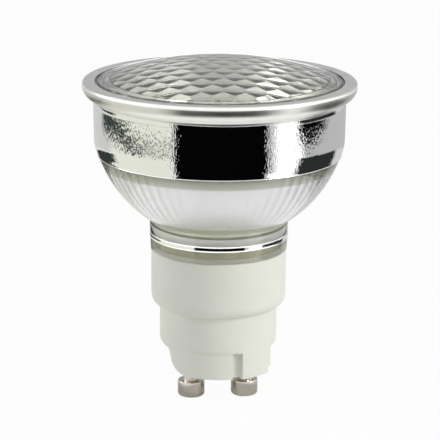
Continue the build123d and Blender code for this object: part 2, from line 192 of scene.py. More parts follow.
def arc(centre, radius, start, stop, count):
    """Points (r, z) on an arc about a centre, from one angle to another in degrees."""
    angle = np.radians(np.linspace(start, stop, count))
    return np.stack([centre[0] + radius * np.cos(angle), centre[1] + radius * np.sin(angle)], axis=-1)


def line(start, stop, count):
    """Evenly spaced points (r, z) from one place to another, the last one left out."""
    return np.linspace(start, stop, count, endpoint=False)


# %% [markdown]
# ## Materials from nodes
#
# The same few effects come back on many finishes: a soft mottling, and a fine grain that lifts the
# surface a little. Each is a node group, built once. Its sockets are numbers only; the shader itself
# stays in each material, so that the finish can still be exported. The grain's Upright value scales the
# height before the noise is read: under 1 it draws the grain out along the lamp's axis.


# %% Node helpers
def group(name, inputs, outputs):
    """An empty node group with named sockets. Returns the tree, its input node and its output node."""
    tree = bpy.data.node_groups.new(name, "ShaderNodeTree")
    for label, kind, value in inputs:
        item = tree.interface.new_socket(name=label, in_out="INPUT", socket_type=kind)
        if value is not None:
            item.default_value = value
    for label, kind in outputs:
        tree.interface.new_socket(name=label, in_out="OUTPUT", socket_type=kind)
    return tree, tree.nodes.new("NodeGroupInput"), tree.nodes.new("NodeGroupOutput")


def put(tree, kind, **values):
    """A node of a kind with some of its settings and input values set by name."""
    node = tree.nodes.new(kind)
    for label, value in values.items():
        if hasattr(node, label):
            setattr(node, label, value)
        else:
            node.inputs[label.replace("_", " ")].default_value = value
    return node


def mix_colours(tree, mask, first, second):
    """A node that blends two colours by a mask."""
    node = tree.nodes.new("ShaderNodeMix")
    node.data_type = "RGBA"
    for socket, value in ((node.inputs[0], mask), (node.inputs[6], first), (node.inputs[7], second)):
        if isinstance(value, bpy.types.NodeSocket):
            tree.links.new(value, socket)
        else:
            socket.default_value = value
    return node.outputs[2]


def span(tree, value, low, high, start, stop):
    """A node that maps a value from one range to another, clamped."""
    node = tree.nodes.new("ShaderNodeMapRange")
    tree.links.new(value, node.inputs["Value"])
    for label, number in (("From Min", low), ("From Max", high), ("To Min", start), ("To Max", stop)):
        node.inputs[label].default_value = number
    return node.outputs["Result"]


# %% Mottling and grain
DUST_FINENESS = 3.1
mottle, mottle_in, mottle_out = group(
    "mottle", [("Size", "NodeSocketFloat", 300.0), ("Contrast", "NodeSocketFloat", 1.0)],
    [("Mask", "NodeSocketFloat")])
place = put(mottle, "ShaderNodeTexCoord")
cloud = put(mottle, "ShaderNodeTexNoise", Detail=4.0, Roughness=0.6)
spread = put(mottle, "ShaderNodeMath", operation="MULTIPLY_ADD")
shift = put(mottle, "ShaderNodeMath", operation="SUBTRACT")
shift.inputs[1].default_value = 0.5
spread.inputs[2].default_value = 0.5
mottle.links.new(place.outputs["Object"], cloud.inputs["Vector"])
mottle.links.new(mottle_in.outputs["Size"], cloud.inputs["Scale"])
mottle.links.new(cloud.outputs["Fac"], shift.inputs[0])
mottle.links.new(shift.outputs[0], spread.inputs[0])
mottle.links.new(mottle_in.outputs["Contrast"], spread.inputs[1])
mottle.links.new(spread.outputs[0], mottle_out.inputs["Mask"])

peel, peel_in, peel_out = group(
    "peel", [("Size", "NodeSocketFloat", 1200.0), ("Fine", "NodeSocketFloat", 0.3),
             ("Upright", "NodeSocketFloat", 1.0)],
    [("Height", "NodeSocketFloat")])
place = put(peel, "ShaderNodeTexCoord")
hammer = put(peel, "ShaderNodeTexNoise", Detail=1.0, Roughness=0.5)
dust = put(peel, "ShaderNodeTexNoise", Detail=2.0)
finer = put(peel, "ShaderNodeMath", operation="MULTIPLY")
finer.inputs[1].default_value = DUST_FINENESS
joined = put(peel, "ShaderNodeMath", operation="MULTIPLY_ADD")
stretch = put(peel, "ShaderNodeCombineXYZ", X=1.0, Y=1.0)
drawn = put(peel, "ShaderNodeVectorMath", operation="MULTIPLY")
peel.links.new(peel_in.outputs["Upright"], stretch.inputs["Z"])
peel.links.new(place.outputs["Object"], drawn.inputs[0])
peel.links.new(stretch.outputs[0], drawn.inputs[1])
peel.links.new(drawn.outputs[0], hammer.inputs["Vector"])
peel.links.new(drawn.outputs[0], dust.inputs["Vector"])
peel.links.new(peel_in.outputs["Size"], hammer.inputs["Scale"])
peel.links.new(peel_in.outputs["Size"], finer.inputs[0])
peel.links.new(finer.outputs[0], dust.inputs["Scale"])
peel.links.new(dust.outputs["Fac"], joined.inputs[0])
peel.links.new(peel_in.outputs["Fine"], joined.inputs[1])
peel.links.new(hammer.outputs["Fac"], joined.inputs[2])
peel.links.new(joined.outputs[0], peel_out.inputs["Height"])
print("groups:", mottle.name, peel.name)


# %% One finish
def finish(name, dark, light, rough, metal=0.0, mottle_size=300.0, contrast=1.5, peel_size=1500.0,
           peel_fine=0.3, peel_upright=1.0, bump=0.0, bump_mm=0.02, glass=0.0, ior=1.45):
    """A material whose colour and gloss drift between two values, with a peel on its normals."""
    material = bpy.data.materials.new(name)
    material.use_nodes = True
    tree = material.node_tree
    shader = tree.nodes["Principled BSDF"]
    drift = put(tree, "ShaderNodeGroup")
    drift.node_tree = mottle
    drift.inputs["Size"].default_value = mottle_size
    drift.inputs["Contrast"].default_value = contrast
    colour = mix_colours(tree, drift.outputs["Mask"], (*dark, 1), (*light, 1))
    tree.links.new(colour, shader.inputs["Base Color"])
    gloss = span(tree, drift.outputs["Mask"], 0, 1, rough[0], rough[1])
    tree.links.new(gloss, shader.inputs["Roughness"])
    shader.inputs["Metallic"].default_value = metal
    shader.inputs["Transmission Weight"].default_value = glass
    shader.inputs["IOR"].default_value = ior
    if bump:
        skin = put(tree, "ShaderNodeGroup")
        skin.node_tree = peel
        skin.inputs["Size"].default_value = peel_size
        skin.inputs["Fine"].default_value = peel_fine
        skin.inputs["Upright"].default_value = peel_upright
        lift = put(tree, "ShaderNodeBump", Strength=bump, Distance=bump_mm * MM)
        tree.links.new(skin.outputs["Height"], lift.inputs["Height"])
        tree.links.new(lift.outputs["Normal"], shader.inputs["Normal"])
    return material


def dress(piece, material, slot, *nodes):
    """Gives a new piece its finish, lets it ride on the lamp, and hides the nodes it stands for. The slot is
    not used.
    """
    piece.data.materials.append(material)
    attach(piece, "root")
    if nodes:
        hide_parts(*nodes)
    return piece


def paint(node, material):
    """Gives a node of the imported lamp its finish."""
    for index in range(len(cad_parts[node].data.materials)):
        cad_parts[node].data.materials[index] = material
    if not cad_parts[node].data.materials:
        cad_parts[node].data.materials.append(material)


# %% [markdown]
# ## The front lens
#
# The lens is pressed from clear glass: a shallow smooth dome outside, and on its inside a staggered
# field of small crowned lenses that spread the beam. They could be made as separate caps, but glass
# must be one closed surface for light to bend through it properly. So the inside is one grid, and each
# point's height is that of the nearest lenslet: a cap that falls away with the square of the distance
# from its centre. Where two caps meet they leave the sharp valleys of the real pressing.

# %% Sizes of the lens
DOME_RADIUS = 66.8
DOME_TOP = 63.8
LENS_THICKNESS = 1.7
LENS_RIM_RADIUS = 23.9
LENS_RIM_TOP = 59.64
LENS_RIM_BOTTOM = 57.9
LENS_SHOULDER_RADIUS = 21.5
LENS_STEP_RADIUS = 22.3
PATTERN_RADIUS = 19.7
LENSLET_PITCH = 3.76
LENSLET_ROW_PITCH = 2.83
LENSLET_DEPTH = 0.23
LENSLET_CROWN = 10.5
LATTICE_START = (-1.23, -15.3)
LATTICE_TURN = radians(-5.7)
MARGIN_FADE = 0.25


def dome(radius, depth=0.0):
    """Height of the dome at a radius: its top, less what a circle of the dome's radius falls by there."""
    return DOME_TOP - DOME_RADIUS + np.sqrt((DOME_RADIUS - depth) ** 2 - radius**2)


def lenslet_drop(x, y):
    """How far the lenslets stand below the inner dome at points x, y.

    The points are turned into the lattice's own frame and measured in pitches. The nearest centre is
    the nearer of the two nearest places of the even and of the odd rows. The cap stands out by its
    depth, less the distance squared over twice its crown radius, and never by less than nothing. At
    the pattern's edge it fades into the smooth margin over a short stretch of the radius.
    """
    across = x * cos(-LATTICE_TURN) - y * sin(-LATTICE_TURN) - LATTICE_START[0]
    along = x * sin(-LATTICE_TURN) + y * cos(-LATTICE_TURN) - LATTICE_START[1]
    best = np.full(x.shape, 1e9)
    for odd in (0, 1):
        row = 2 * np.round((along / LENSLET_ROW_PITCH - odd) / 2) + odd
        column = np.round(across / LENSLET_PITCH - odd / 2) + odd / 2
        gap = (across - column * LENSLET_PITCH) ** 2 + (along - row * LENSLET_ROW_PITCH) ** 2
        best = np.minimum(best, gap)
    cap = np.maximum(LENSLET_DEPTH - best / (2 * LENSLET_CROWN), 0.0)
    edge = np.clip((PATTERN_RADIUS - np.hypot(x, y)) / MARGIN_FADE, 0.0, 1.0)
    return cap * edge


# %% Build the lens
LENS_AROUND = 448
outer_r = np.concatenate([[0.0], np.linspace(0.6, LENS_SHOULDER_RADIUS, 26)])
outer_z = dome(outer_r)
shoulder_height = float(dome(LENS_SHOULDER_RADIUS)) - LENS_RIM_TOP
bulge = np.radians(np.linspace(78, 2, 12))
shoulder = np.stack([LENS_SHOULDER_RADIUS + (LENS_STEP_RADIUS - LENS_SHOULDER_RADIUS) * np.cos(bulge),
                     LENS_RIM_TOP + shoulder_height * np.sin(bulge)], axis=-1)
shoulder = np.concatenate([shoulder, [
    [LENS_STEP_RADIUS + 0.05, LENS_RIM_TOP], [LENS_RIM_RADIUS - 0.1, LENS_RIM_TOP],
    [LENS_RIM_RADIUS, LENS_RIM_TOP - 0.1], [LENS_RIM_RADIUS, LENS_RIM_BOTTOM + 0.1],
    [LENS_RIM_RADIUS - 0.1, LENS_RIM_BOTTOM]]])
inner_edge = sqrt((DOME_RADIUS - LENS_THICKNESS) ** 2 - (LENS_RIM_BOTTOM - DOME_TOP + DOME_RADIUS) ** 2)
inner_r = np.concatenate([np.linspace(inner_edge, PATTERN_RADIUS, 5),
                          np.linspace(PATTERN_RADIUS - 0.14, 0.14, 146)])
lens_angle = np.arange(LENS_AROUND) * 2 * pi / LENS_AROUND - pi / 2 + pi
inner_grid_r = np.repeat(inner_r[:, None], LENS_AROUND, axis=1)
inner_grid_z = dome(inner_grid_r, LENS_THICKNESS) - lenslet_drop(
    inner_grid_r * np.cos(lens_angle), inner_grid_r * np.sin(lens_angle))
head_r = np.concatenate([outer_r, shoulder[:, 0]])
head_z = np.concatenate([outer_z, shoulder[:, 1]])
pole_drop = lenslet_drop(np.zeros(1), np.zeros(1))[0]
lens_r = np.concatenate([np.repeat(head_r[:, None], LENS_AROUND, axis=1), inner_grid_r,
                         np.zeros((1, LENS_AROUND))])
lens_z = np.concatenate([np.repeat(head_z[:, None], LENS_AROUND, axis=1), inner_grid_z,
                         np.full((1, LENS_AROUND), dome(0.0, LENS_THICKNESS) - pole_drop)])
lens = turned_piece("front_lens_glass", lens_r, lens_z, LENS_AROUND, flat_angle=20.0)

# %% Clear glass with a faint warm tint
lens_glass = finish("lens_glass", (0.99, 0.99, 0.93), (1.0, 1.0, 0.955), (0.0, 0.02), glass=0.97, ior=1.47,
                    mottle_size=120.0, bump=0.15, bump_mm=0.004, peel_size=900.0)
dress(lens, lens_glass, "lens_glass", "front_lens")

# %% [markdown]
# ## The reflector
#
# The reflector is pressed glass. Its inside carries a mirror coat that follows 64 shallow flutes, so
# from outside one looks through the glass at the back of the mirror. In the neck the glass is thick,
# and its mirrored bore is magnified to nearly the full width. The drafted wall at the top has a
# stippled mirror skin that ends in a thin bright line. So there are seven pieces: the glass, the coat
# on its inside, the bright face of that coat seen through the lens, the skin on the wall, the skin's
# bright edge, a bead round the neck, and the cement that shows through the neck's foot.

# %% Sizes of the reflector
NECK_BOTTOM = 28.7
NECK_BOTTOM_RADIUS = 12.6
NECK_TOP_RADIUS = 12.8
NECK_BORE = 7.7
BOWL_CENTRE = 54.0
BOWL_RADIUS = 23.45
BOWL_WALL = 1.75
BOWL_TOP = 48.6
CORNER_REACH = 1.1
WALL_TOP_RADIUS = 22.95
WALL_TOP = 56.75
FLANGE_RADIUS = 23.9
FLANGE_BOTTOM = 57.75
FLANGE_TOP = 57.9
SKIN_BOTTOM = 46.55
COAT_BOTTOM = 30.3
SINK = 0.02
THROAT_RADIUS = 9.1
FLUTES = 64
FLUTE_DEPTH = 0.07
COAT_HALF = 0.03
SKIN_THICKNESS = 0.05
BOWL_AROUND = FLUTES * 6


def bowl(height, radius):
    """Radius at a height of a sphere about the bowl's centre."""
    return np.sqrt(radius**2 - (BOWL_CENTRE - np.asarray(height, float)) ** 2)


def outer_wall(height):
    """Radius of the outside above the neck at heights.

    Below the corner it is the sphere, and above it the straight wall. Within the corner's reach the two
    are joined by a cubic curve that starts and ends with their slopes, so the corner is softly rounded.
    """
    height = np.asarray(height, float)
    low, high = BOWL_TOP - CORNER_REACH, BOWL_TOP + CORNER_REACH
    top = float(bowl(BOWL_TOP, BOWL_RADIUS))
    rise = (WALL_TOP_RADIUS - top) / (WALL_TOP - BOWL_TOP)
    ball = bowl(np.minimum(height, BOWL_TOP), BOWL_RADIUS)
    flare = (FLANGE_RADIUS - WALL_TOP_RADIUS) / (FLANGE_BOTTOM - WALL_TOP)
    wall = top + rise * (height - BOWL_TOP) + flare * np.maximum(height - WALL_TOP, 0.0)
    start = float(bowl(low, BOWL_RADIUS))
    slope = (BOWL_CENTRE - low) / start
    t = np.clip((height - low) / (high - low), 0.0, 1.0)
    reach = high - low
    curve = ((2 * t**3 - 3 * t**2 + 1) * start + (t**3 - 2 * t**2 + t) * slope * reach
             + (3 * t**2 - 2 * t**3) * (top + rise * CORNER_REACH) + (t**3 - t**2) * rise * reach)
    return np.where(height < low, ball, np.where(height > high, wall, curve))


bowl_start = BOWL_CENTRE - sqrt(BOWL_RADIUS**2 - NECK_TOP_RADIUS**2)
inner_radius = BOWL_RADIUS - BOWL_WALL
inner_start = BOWL_CENTRE - sqrt(inner_radius**2 - THROAT_RADIUS**2)
print("bowl starts at", round(bowl_start, 2), "inside at", round(inner_start, 2))

# %% Build the glass body
outer_levels = np.concatenate([np.linspace(bowl_start + 0.05, BOWL_TOP - CORNER_REACH, 34),
                               np.linspace(BOWL_TOP - CORNER_REACH + 0.2, BOWL_TOP + CORNER_REACH, 12),
                               np.linspace(BOWL_TOP + CORNER_REACH + 1, WALL_TOP - 0.5, 6)])
outside = np.concatenate([
    [[NECK_BORE, NECK_BOTTOM - SINK], [NECK_BOTTOM_RADIUS - 0.12, NECK_BOTTOM - SINK]],
    line((NECK_BOTTOM_RADIUS, NECK_BOTTOM + 0.12), (NECK_TOP_RADIUS, bowl_start - 0.06), 6),
    [[NECK_TOP_RADIUS + 0.01, bowl_start - 0.04]],
    np.stack([outer_wall(outer_levels), outer_levels], axis=-1),
    [[WALL_TOP_RADIUS, WALL_TOP], [FLANGE_RADIUS, FLANGE_BOTTOM], [FLANGE_RADIUS, FLANGE_TOP],
     [WALL_TOP_RADIUS - BOWL_WALL, FLANGE_TOP]]])
inner_levels = np.concatenate([np.linspace(FLANGE_TOP - 0.4, BOWL_TOP, 6),
                               np.linspace(BOWL_TOP - 0.3, inner_start, 44)])


def inner_wall(level):
    """Radius of the smooth inside: a cone from the flange to the bowl's top, then the inner sphere."""
    top = WALL_TOP_RADIUS - BOWL_WALL
    low = float(bowl(BOWL_TOP, inner_radius))
    cone = low + (top - low) * (level - BOWL_TOP) / (FLANGE_TOP - BOWL_TOP)
    ball = bowl(np.clip(level, inner_start, BOWL_TOP), inner_radius)
    return np.where(level > BOWL_TOP, cone, ball)


def bore_radius(level):
    """Radius of the throat below the bowl: a cone from the bore at the coat's end up to the bowl."""
    rise = np.clip((level - COAT_BOTTOM) / (inner_start - COAT_BOTTOM), 0, 1)
    return NECK_BORE + (THROAT_RADIUS - NECK_BORE) * rise


bowl_angle = np.arange(BOWL_AROUND) * 2 * pi / BOWL_AROUND


def fluted(level, offset=0.0):
    """Radius of the fluted inside on a grid of levels and angles.

    Each flute is a shallow round trough: half a sine wave of the angle, raised to the flute's depth. It
    is deepest in the bowl and dies out at the bore and at the wall.
    """
    trough = abs(np.sin(bowl_angle * FLUTES / 2))
    fade = np.clip((level - inner_start) / 1.0, 0, 1) * np.clip((BOWL_TOP - level) / 0.4, 0, 1)
    return inner_wall(level)[:, None] + FLUTE_DEPTH * fade[:, None] * trough[None, :] + offset


def whole(profile, around):
    """A profile's radii and heights repeated round the axis."""
    return np.repeat(profile[:, :1], around, axis=1), np.repeat(profile[:, 1:], around, axis=1)


bore_levels = np.linspace(inner_start + 0.3, 30.0, 6)
bore = np.stack([bore_radius(bore_levels), bore_levels], axis=-1)
out_r, out_z = whole(outside, BOWL_AROUND)
bore_r, bore_z = whole(bore, BOWL_AROUND)
level_z = np.repeat(inner_levels[:, None], BOWL_AROUND, axis=1)
glass_r = np.concatenate([out_r, fluted(inner_levels), bore_r])[::-1]
glass_z = np.concatenate([out_z, level_z, bore_z])[::-1]
body = turned_piece("reflector_glass", glass_r, glass_z, BOWL_AROUND, flat_angle=24.0)

# %% Build the mirror coat on the inside
coat_levels = inner_levels[1:]
coat_z = np.repeat(coat_levels[:, None], BOWL_AROUND, axis=1)
throat_levels = np.linspace(inner_start - 0.6, COAT_BOTTOM, 5)
bore_coat = np.stack([bore_radius(throat_levels), throat_levels], axis=-1)
near_r, near_z = whole(bore_coat, BOWL_AROUND)
face_r = np.concatenate([fluted(coat_levels), near_r])
face_z = np.concatenate([coat_z, near_z])
coat_r = np.concatenate([face_r + COAT_HALF, (face_r - COAT_HALF)[::-1]])[::-1]
coat_zz = np.concatenate([face_z, face_z[::-1]])[::-1]
coat = turned_piece("mirror_coat", coat_r, coat_zz, BOWL_AROUND, flat_angle=24.0)

# %% Build the bright inside of the coat
INSIDE_GAP = 0.01
inside_r = np.concatenate([face_r - COAT_HALF - INSIDE_GAP, (face_r - 2 * COAT_HALF)[::-1]])
inside_z = np.concatenate([face_z, face_z[::-1]])
inside = turned_piece("mirror_inside", inside_r, inside_z, BOWL_AROUND, flat_angle=24.0)

# %% Build the stippled skin on the wall
skin_levels = np.concatenate([np.linspace(SKIN_BOTTOM + 0.12, BOWL_TOP + CORNER_REACH, 16),
                              np.linspace(BOWL_TOP + CORNER_REACH + 0.6, WALL_TOP + 0.3, 11)])
edge_radius = float(outer_wall(SKIN_BOTTOM))
skin_outside = np.concatenate([
    [[edge_radius + 0.005, SKIN_BOTTOM - 0.05], [edge_radius + 0.05, SKIN_BOTTOM - 0.06],
     [edge_radius + 0.09, SKIN_BOTTOM]],
    np.stack([outer_wall(skin_levels) + SKIN_THICKNESS, skin_levels], axis=-1)])
skin_inside = np.stack([outer_wall(skin_levels[::-1]) + 0.005, skin_levels[::-1]], axis=-1)
skin_profile = np.concatenate([skin_outside, skin_inside])
skin = turned_piece("mirror_skin", skin_profile[:, 0], skin_profile[:, 1], 256, flat_angle=50.0)

# %% Build the bright edge of the skin
EDGE_RADIUS = 0.07
edge_points = arc((edge_radius + 0.06, SKIN_BOTTOM - 0.02), EDGE_RADIUS, 0, 330, 12)
edge = turned_piece("skin_edge", edge_points[:, 0], edge_points[:, 1], 256, flat_angle=60.0)

# %% Build the bead round the neck
BEAD_TOP = 31.95
BEAD_BOTTOM = 30.95
BEAD_BULGE = 0.07
bead_levels = np.linspace(BEAD_TOP, BEAD_BOTTOM, 9)
neck_radius = NECK_BOTTOM_RADIUS + (NECK_TOP_RADIUS - NECK_BOTTOM_RADIUS) * (
    bead_levels - NECK_BOTTOM) / (bowl_start - NECK_BOTTOM)
across_bead = (bead_levels - BEAD_BOTTOM) / (BEAD_TOP - BEAD_BOTTOM)
bead_swell = BEAD_BULGE * np.sin(pi * across_bead) ** 0.7
bead_outside = np.stack([neck_radius + 0.004 + bead_swell, bead_levels], axis=-1)
bead_inside = np.stack([neck_radius[::-1] + 0.002, bead_levels[::-1]], axis=-1)
bead_profile = np.concatenate([bead_inside, bead_outside[1:-1]])
bead = turned_piece("neck_bead", bead_profile[:, 0], bead_profile[:, 1], 192, flat_angle=60.0)

# %% Build the cement skin inside the foot of the neck
skin_foot = np.array([[NECK_BORE + COAT_HALF, NECK_BOTTOM + 0.02], [NECK_BORE + COAT_HALF, COAT_BOTTOM],
                      [NECK_BORE - COAT_HALF, COAT_BOTTOM], [NECK_BORE - COAT_HALF, NECK_BOTTOM + 0.02]])
foot = turned_piece("neck_cement", skin_foot[::-1, 0], skin_foot[::-1, 1], 128)

# %% Finishes of the reflector
def zoned(material, zones):
    """Replaces a finish's colour by bands along the lamp's axis, each a height in mm and a colour.

    The height is read from the object's own coordinates, and a ramp between the lowest and the highest
    zone blends from one colour to the next. The mottling of the finish is kept on top of it.
    """
    tree = material.node_tree
    shader = tree.nodes["Principled BSDF"]
    old = shader.inputs["Base Color"].links[0].from_socket
    where = put(tree, "ShaderNodeTexCoord")
    split = put(tree, "ShaderNodeSeparateXYZ")
    tree.links.new(where.outputs["Object"], split.inputs[0])
    low, high = zones[0][0], zones[-1][0]
    level = span(tree, split.outputs["Z"], low * MM, high * MM, 0.0, 1.0)
    ramp = put(tree, "ShaderNodeValToRGB")
    tree.links.new(level, ramp.inputs[0])
    stops = ramp.color_ramp.elements
    while len(stops) < len(zones):
        stops.new(0.5)
    for stop, (height, colour) in zip(stops, zones):
        stop.position = (height - low) / (high - low)
        stop.color = (*colour, 1)
    blend = put(tree, "ShaderNodeMix")
    blend.data_type = "RGBA"
    blend.blend_type = "MULTIPLY"
    blend.inputs[0].default_value = 1.0
    tree.links.new(ramp.outputs["Color"], blend.inputs[6])
    tree.links.new(old, blend.inputs[7])
    tree.links.new(blend.outputs[2], shader.inputs["Base Color"])


PAINTED_SHADE_FROM = 44.7
PAINTED_TINT_TOP = 36.4
reflector_glass = finish("reflector_glass", (0.975, 0.98, 0.955), (0.99, 0.995, 0.98), (0.0, 0.02), glass=1.0,
                         ior=1.47, mottle_size=90.0, bump=0.1, bump_mm=0.004, peel_size=500.0)
mirror = finish("satin_mirror", (0.95, 0.95, 0.96), (0.99, 0.99, 1.0), (0.40, 0.48), metal=1.0,
                mottle_size=160.0, bump=0.2, bump_mm=0.01, peel_size=1300.0)
# The bands are painted reflection and shade on the coat: a dark olive line just above the neck's bead, a pale
# olive tint in the neck up to 36.4 mm, and a dark olive band of painted shade from 44.7 mm to just under the
# skin's bright edge.
zoned(mirror, ((30.0, (0.98, 0.98, 0.98)), (32.5, (0.98, 0.98, 0.98)), (32.65, (0.34, 0.35, 0.27)),
               (33.0, (0.34, 0.35, 0.27)), (33.2, (0.95, 0.96, 0.84)), (PAINTED_TINT_TOP - 0.1, (0.97, 0.98, 0.87)),
               (PAINTED_TINT_TOP + 0.1, (0.91, 0.91, 0.92)), (PAINTED_SHADE_FROM - 0.3, (0.91, 0.91, 0.92)),
               (PAINTED_SHADE_FROM, (0.62, 0.63, 0.55)), (46.4, (0.40, 0.41, 0.34)), (47.0, (0.9, 0.9, 0.88)),
               (58.0, (0.9, 0.9, 0.88))))
inner_mirror = finish("inner_mirror", (0.95, 0.95, 0.93), (0.99, 0.99, 0.97), (0.14, 0.20), metal=0.72,
                      mottle_size=160.0, bump=0.2, bump_mm=0.01, peel_size=900.0)
stipple = finish("stippled_mirror", (0.84, 0.85, 0.83), (0.90, 0.905, 0.88), (0.03, 0.05), metal=1.0,
                 mottle_size=150.0, bump=1.0, bump_mm=0.0185, peel_size=3800.0, peel_fine=0.06,
                 peel_upright=0.3)
bright_mirror = finish("bright_mirror", (0.90, 0.90, 0.88), (0.98, 0.98, 0.96), (0.08, 0.14), metal=1.0,
                       mottle_size=400.0, bump=0.3, bump_mm=0.02, peel_size=900.0)
dress(bead, bright_mirror, "reflector_glass", "reflector")
dress(edge, bright_mirror, "reflector_glass", "reflector")
dress(body, reflector_glass, "reflector_glass", "reflector")
dress(coat, mirror, "reflector_glass", "reflector")
dress(inside, inner_mirror, "reflector_glass", "reflector")
dress(skin, stipple, "reflector_glass", "reflector")

# %% [markdown]
# ## The retaining ring
#
# The ring is spun from thin aluminium and crimped in under the glass flange, so its lower edge is
# slightly wavy. A turned profile gives the lip, the rolled side and the skirt, and the crimp is a slow
# wave of the angle added to the height of the lowest rows only. Each crimp is an azimuth as for the
# camera, a width in degrees and a lift in millimetres.

# %% Build the ring
SHEET = 0.36
LIP_RADIUS = 22.7
LIP_TOP = 60.05
BEND_RADIUS = 0.65
RING_RADIUS = 25.02
ROLL_RADIUS = 2.6
ROLL_END = -42.0
SKIRT_RADIUS = 23.03
SKIRT_BEND = 56.75
SKIRT_BOTTOM = 56.3
RING_AROUND = 320
bend_centre = (RING_RADIUS - BEND_RADIUS, LIP_TOP - BEND_RADIUS)
roll_centre = (RING_RADIUS - ROLL_RADIUS, bend_centre[1])
outer_roll = arc(roll_centre, ROLL_RADIUS, -3, ROLL_END, 22)
inner_roll = arc(roll_centre, ROLL_RADIUS - SHEET, ROLL_END, 0, 12)
ring_profile = np.concatenate([
    [[LIP_RADIUS, LIP_TOP - SHEET + 0.08], [LIP_RADIUS, LIP_TOP - 0.1], [LIP_RADIUS + 0.1, LIP_TOP]],
    line((LIP_RADIUS + 0.3, LIP_TOP), (bend_centre[0] - 0.1, LIP_TOP), 4),
    arc(bend_centre, BEND_RADIUS, 90, 0, 16), outer_roll,
    line(outer_roll[-1], (SKIRT_RADIUS + SHEET + 0.08, SKIRT_BEND + 0.18), 8)[1:],
    [[SKIRT_RADIUS + SHEET + 0.03, SKIRT_BEND + 0.05], [SKIRT_RADIUS + SHEET, SKIRT_BEND - 0.06],
     [SKIRT_RADIUS + SHEET, SKIRT_BOTTOM + 0.08], [SKIRT_RADIUS + SHEET - 0.08, SKIRT_BOTTOM],
     [SKIRT_RADIUS + 0.08, SKIRT_BOTTOM], [SKIRT_RADIUS, SKIRT_BOTTOM + 0.08],
     [SKIRT_RADIUS, SKIRT_BEND + 0.1]],
    inner_roll, arc(bend_centre, BEND_RADIUS - SHEET, 10, 90, 6),
    [[LIP_RADIUS + 0.08, LIP_TOP - SHEET]]])
ring_angle = np.arange(RING_AROUND) * 2 * pi / RING_AROUND
CRIMPS = ((-9, 13, 0.85), (-38, 18, 0.28), (27, 10, 0.08), (66, 12, 0.4), (118, 20, 0.4), (170, 18, 0.5),
          (-140, 24, 0.35))
wave = np.full(RING_AROUND, 0.03)
for azimuth, width, lift in CRIMPS:
    # Each crimp lifts the edge by a bell curve of the angle from its middle.
    away = (np.degrees(ring_angle) + 90 + degrees(LAMP_TURN) - azimuth + 180) % 360 - 180
    wave = wave + lift * np.exp(-0.5 * (away / width) ** 2)
low_rows = np.clip((SKIRT_BEND + 0.3 - ring_profile[:, 1]) / 0.5, 0, 1) * (ring_profile[:, 0] < 23.9)
ring_r, ring_z = whole(ring_profile[::-1], RING_AROUND)
ring_z = ring_z + low_rows[::-1, None] * wave[None, :]
ring = turned_piece("spun_ring", ring_r, ring_z, RING_AROUND, flat_angle=40.0)
aluminium = finish("satin_aluminium", (0.66, 0.66, 0.63), (0.78, 0.78, 0.74), (0.30, 0.38), metal=1.0,
                   mottle_size=260.0, bump=0.2, bump_mm=0.008, peel_size=2600.0)
dress(ring, aluminium, "ring_metal", "retaining_ring")

# %% [markdown]
# ## The ceramic base
#
# The base is pressed ceramic, matt and slightly warm. The solid's own shape is right, so it keeps its
# node and gets a material with a soft mottling and the finest of grain.

# %% Paint the base and the cement
ceramic = finish("ceramic", (0.80, 0.805, 0.72), (0.86, 0.865, 0.79), (0.55, 0.75), mottle_size=220.0,
                 contrast=1.2, bump=0.25, bump_mm=0.02, peel_size=3500.0)
cement = finish("cement", (0.42, 0.415, 0.31), (0.58, 0.575, 0.44), (0.85, 1.0), mottle_size=700.0,
                bump=0.6, bump_mm=0.08, peel_size=1800.0)
dress(foot, cement, "cement")
paint("ceramic_base", ceramic)
paint("cement_fill", cement)

# %% [markdown]
# ## The two contact pins
#
# The pins are turned from nickel-plated brass. A fine profile with true rounds catches the light in a
# way that the facets of the solid can't, so each pin is turned again here. The heads' lower edge is
# sharper than in the photograph, where its round is about 0.7 to 0.8 mm.


# %% Turn the pins
PIN_PITCH = 10.0
HEAD_RADIUS = 2.5
HEAD_HEIGHT = 3.0
HEAD_ROUND = 0.55
SHANK_RADIUS = 1.45
SHANK_TOP = 10.4
RIVET_RADIUS = 2.1
RIVET_HEIGHT = 0.6
pin_profile = np.concatenate([
    [[0.0, 0.0]], line((0.4, 0.0), (HEAD_RADIUS - HEAD_ROUND, 0.0), 5),
    arc((HEAD_RADIUS - HEAD_ROUND, HEAD_ROUND), HEAD_ROUND, -90, 0, 12),
    line((HEAD_RADIUS, HEAD_ROUND + 0.2), (HEAD_RADIUS, HEAD_HEIGHT - 0.25), 4),
    arc((HEAD_RADIUS - 0.18, HEAD_HEIGHT - 0.18), 0.18, 0, 90, 6),
    [[SHANK_RADIUS + 0.12, HEAD_HEIGHT], [SHANK_RADIUS, HEAD_HEIGHT + 0.12]],
    line((SHANK_RADIUS, HEAD_HEIGHT + 0.4), (SHANK_RADIUS, SHANK_TOP), 6),
    [[SHANK_RADIUS, SHANK_TOP], [RIVET_RADIUS - 0.1, SHANK_TOP], [RIVET_RADIUS, SHANK_TOP + 0.1],
     [RIVET_RADIUS, SHANK_TOP + RIVET_HEIGHT - 0.1], [RIVET_RADIUS - 0.1, SHANK_TOP + RIVET_HEIGHT],
     [0.4, SHANK_TOP + RIVET_HEIGHT], [0.0, SHANK_TOP + RIVET_HEIGHT]]])[::-1]
nickel = finish("nickel_plate", (0.46, 0.43, 0.375), (0.68, 0.635, 0.56), (0.10, 0.18), metal=1.0,
                mottle_size=500.0, bump=0.2, bump_mm=0.01, peel_size=1800.0)
for side, name in ((-1, "left"), (1, "right")):
    pin = turned_piece(f"turned_pin_{name}", pin_profile[:, 0], pin_profile[:, 1], 96)
    pin.data.transform(Matrix.Translation((side * PIN_PITCH / 2 * MM, 0, 0)))
    dress(pin, nickel, "pin_metal", f"contact_pin_{name}")

# %% [markdown]
# ## The burner
#
# What shows of the burner through the lens is the quartz jacket's bright round end, the white ceramic
# arc tube in it, and the thin wires. Their solids are fine enough, so each keeps its node and gets the
# finish of its own material.

